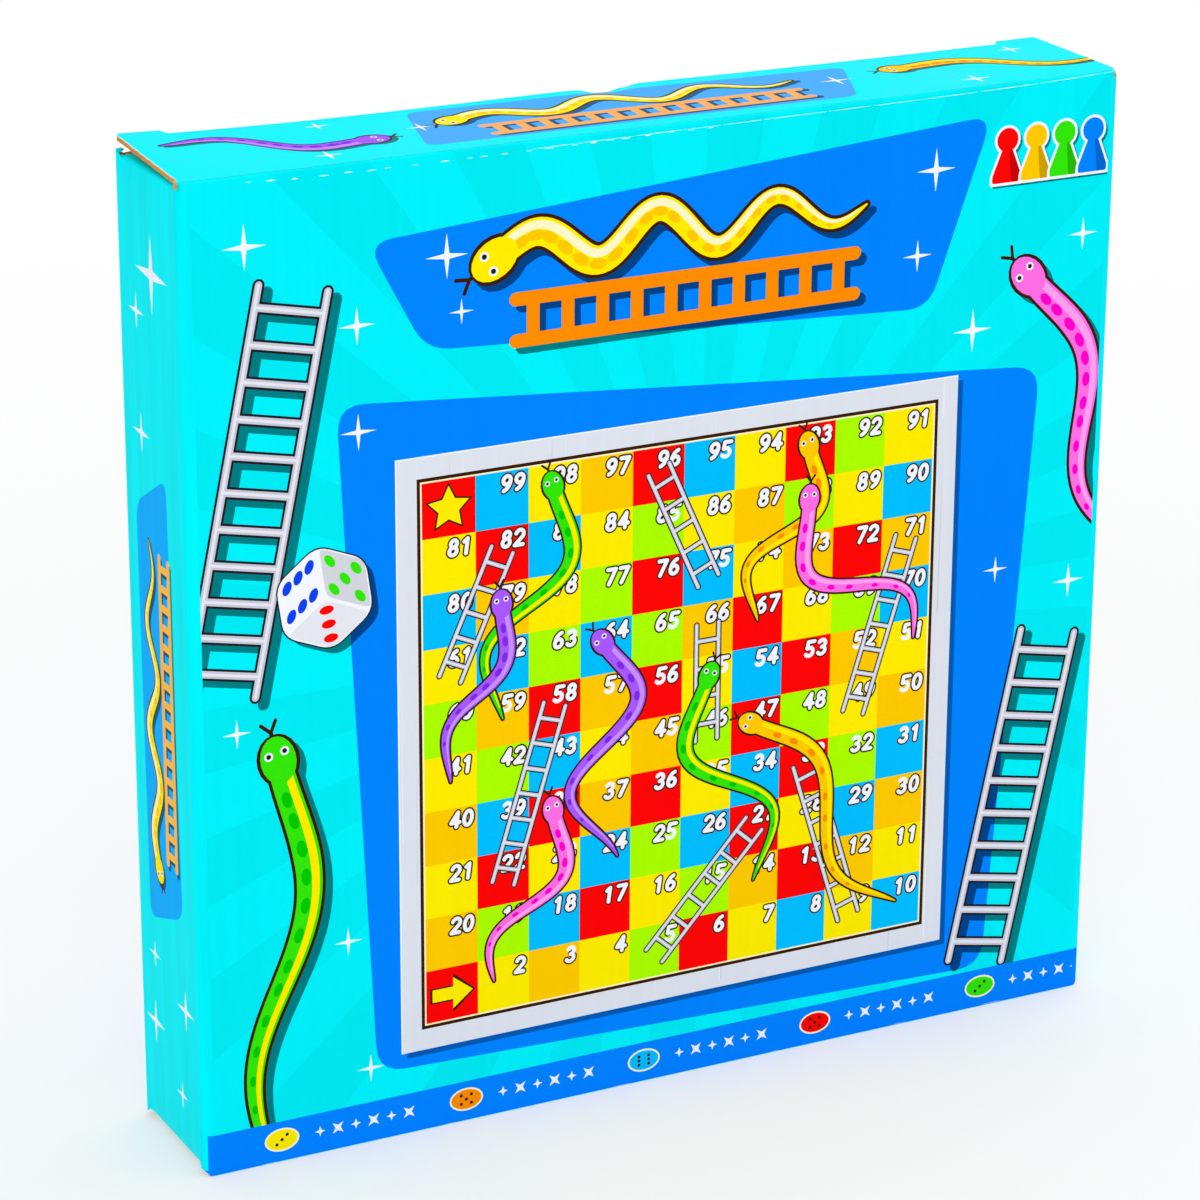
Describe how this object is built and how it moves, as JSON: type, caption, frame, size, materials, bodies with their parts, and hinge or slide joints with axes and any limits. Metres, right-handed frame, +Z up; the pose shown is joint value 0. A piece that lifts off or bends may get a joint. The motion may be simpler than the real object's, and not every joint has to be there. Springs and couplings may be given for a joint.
{
  "type": "boxed snakes and ladders set",
  "caption": "Upright tuck carton with printed faces and hinged lids; holds a framed snakes and ladders board, an insert with a well, a die, pawns and a leaflet.",
  "frame": {"origin": "middle of the carton's rest face, under the bottom lid", "axes": "+X to the right seen from the front, the printed front faces -Y, +Z up"},
  "size_m": [0.272, 0.044, 0.27],
  "materials": {
    "printed_board": "glossy printed paper on micro-flute corrugated board",
    "insert_board": "bare brown kraft corrugated board",
    "frame_wood": "whitewashed wood, satin",
    "backing_board": "bare fibreboard",
    "playfield_print": "satin printed paper",
    "die": "glossy moulded plastic with coloured pips",
    "pawn_red": "glossy moulded plastic",
    "pawn_blue": "glossy moulded plastic",
    "pawn_yellow": "glossy moulded plastic",
    "pawn_green": "glossy moulded plastic",
    "leaflet_paper": "uncoated white paper"
  },
  "bodies": {
    "carton": {"front_panel": "printed_board", "left_side_panel": "printed_board", "back_panel": "printed_board", "right_side_panel": "printed_board", "glue_flap": "insert_board", "board_left_rail": "frame_wood", "board_right_rail": "frame_wood", "board_top_rail": "frame_wood", "board_bottom_rail": "frame_wood", "board_backing": "backing_board", "playfield_sheet": "playfield_print", "insert_platform": "insert_board", "insert_top_leg": "insert_board", "insert_bottom_leg": "insert_board", "insert_left_leg": "insert_board", "insert_right_leg": "insert_board", "well_shelf": "insert_board", "well_roof": "insert_board", "well_left_wall": "insert_board", "well_right_wall": "insert_board", "well_back_wall": "insert_board", "die": "die", "pawn_red": "pawn_red", "pawn_blue": "pawn_blue", "pawn_yellow": "pawn_yellow", "pawn_green": "pawn_green", "rules_leaflet": "leaflet_paper"},
    "top_lid": {"top_lid": "printed_board"},
    "top_tuck_flap": {"top_tuck_flap": "printed_board"},
    "top_left_dust_flap": {"top_left_dust_flap": "printed_board"},
    "top_right_dust_flap": {"top_right_dust_flap": "printed_board"},
    "bottom_lid": {"bottom_lid": "printed_board"},
    "bottom_tuck_flap": {"bottom_tuck_flap": "printed_board"},
    "bottom_left_dust_flap": {"bottom_left_dust_flap": "printed_board"},
    "bottom_right_dust_flap": {"bottom_right_dust_flap": "printed_board"}
  },
  "joints": [
    {"name": "top_lid_hinge", "type": "hinge", "parent": "carton", "child": "top_lid", "pos_m": [0, -0.02125, 0.26925], "axis": [1, 0, 0], "range_deg": [0, 120]},
    {"name": "top_tuck_fold", "type": "hinge", "parent": "top_lid", "child": "top_tuck_flap", "pos_m": [0, 0.01885, 0.26925], "axis": [-1, 0, 0], "range_deg": [0, 48]},
    {"name": "top_left_dust_fold", "type": "hinge", "parent": "carton", "child": "top_left_dust_flap", "pos_m": [-0.13525, 0, 0.26745], "axis": [0, -1, 0], "range_deg": [0, 72]},
    {"name": "top_right_dust_fold", "type": "hinge", "parent": "carton", "child": "top_right_dust_flap", "pos_m": [0.13525, 0, 0.26745], "axis": [0, 1, 0], "range_deg": [0, 72]},
    {"name": "bottom_lid_hinge", "type": "hinge", "parent": "carton", "child": "bottom_lid", "pos_m": [0, -0.02125, 0.00075], "axis": [-1, 0, 0], "range_deg": [0, 120]},
    {"name": "bottom_tuck_fold", "type": "hinge", "parent": "bottom_lid", "child": "bottom_tuck_flap", "pos_m": [0, 0.01885, 0.00075], "axis": [1, 0, 0], "range_deg": [0, 48]},
    {"name": "bottom_left_dust_fold", "type": "hinge", "parent": "carton", "child": "bottom_left_dust_flap", "pos_m": [-0.13525, 0, 0.00255], "axis": [0, 1, 0], "range_deg": [0, 72]},
    {"name": "bottom_right_dust_fold", "type": "hinge", "parent": "carton", "child": "bottom_right_dust_flap", "pos_m": [0.13525, 0, 0.00255], "axis": [0, -1, 0], "range_deg": [0, 72]}
  ],
  "couplings": [
    {"joint": "top_tuck_fold", "follows": "top_lid_hinge", "ratio": 0.4},
    {"joint": "top_left_dust_fold", "follows": "top_lid_hinge", "ratio": 0.6},
    {"joint": "top_right_dust_fold", "follows": "top_lid_hinge", "ratio": 0.6},
    {"joint": "bottom_tuck_fold", "follows": "bottom_lid_hinge", "ratio": 0.4},
    {"joint": "bottom_left_dust_fold", "follows": "bottom_lid_hinge", "ratio": 0.6},
    {"joint": "bottom_right_dust_fold", "follows": "bottom_lid_hinge", "ratio": 0.6}
  ]
}
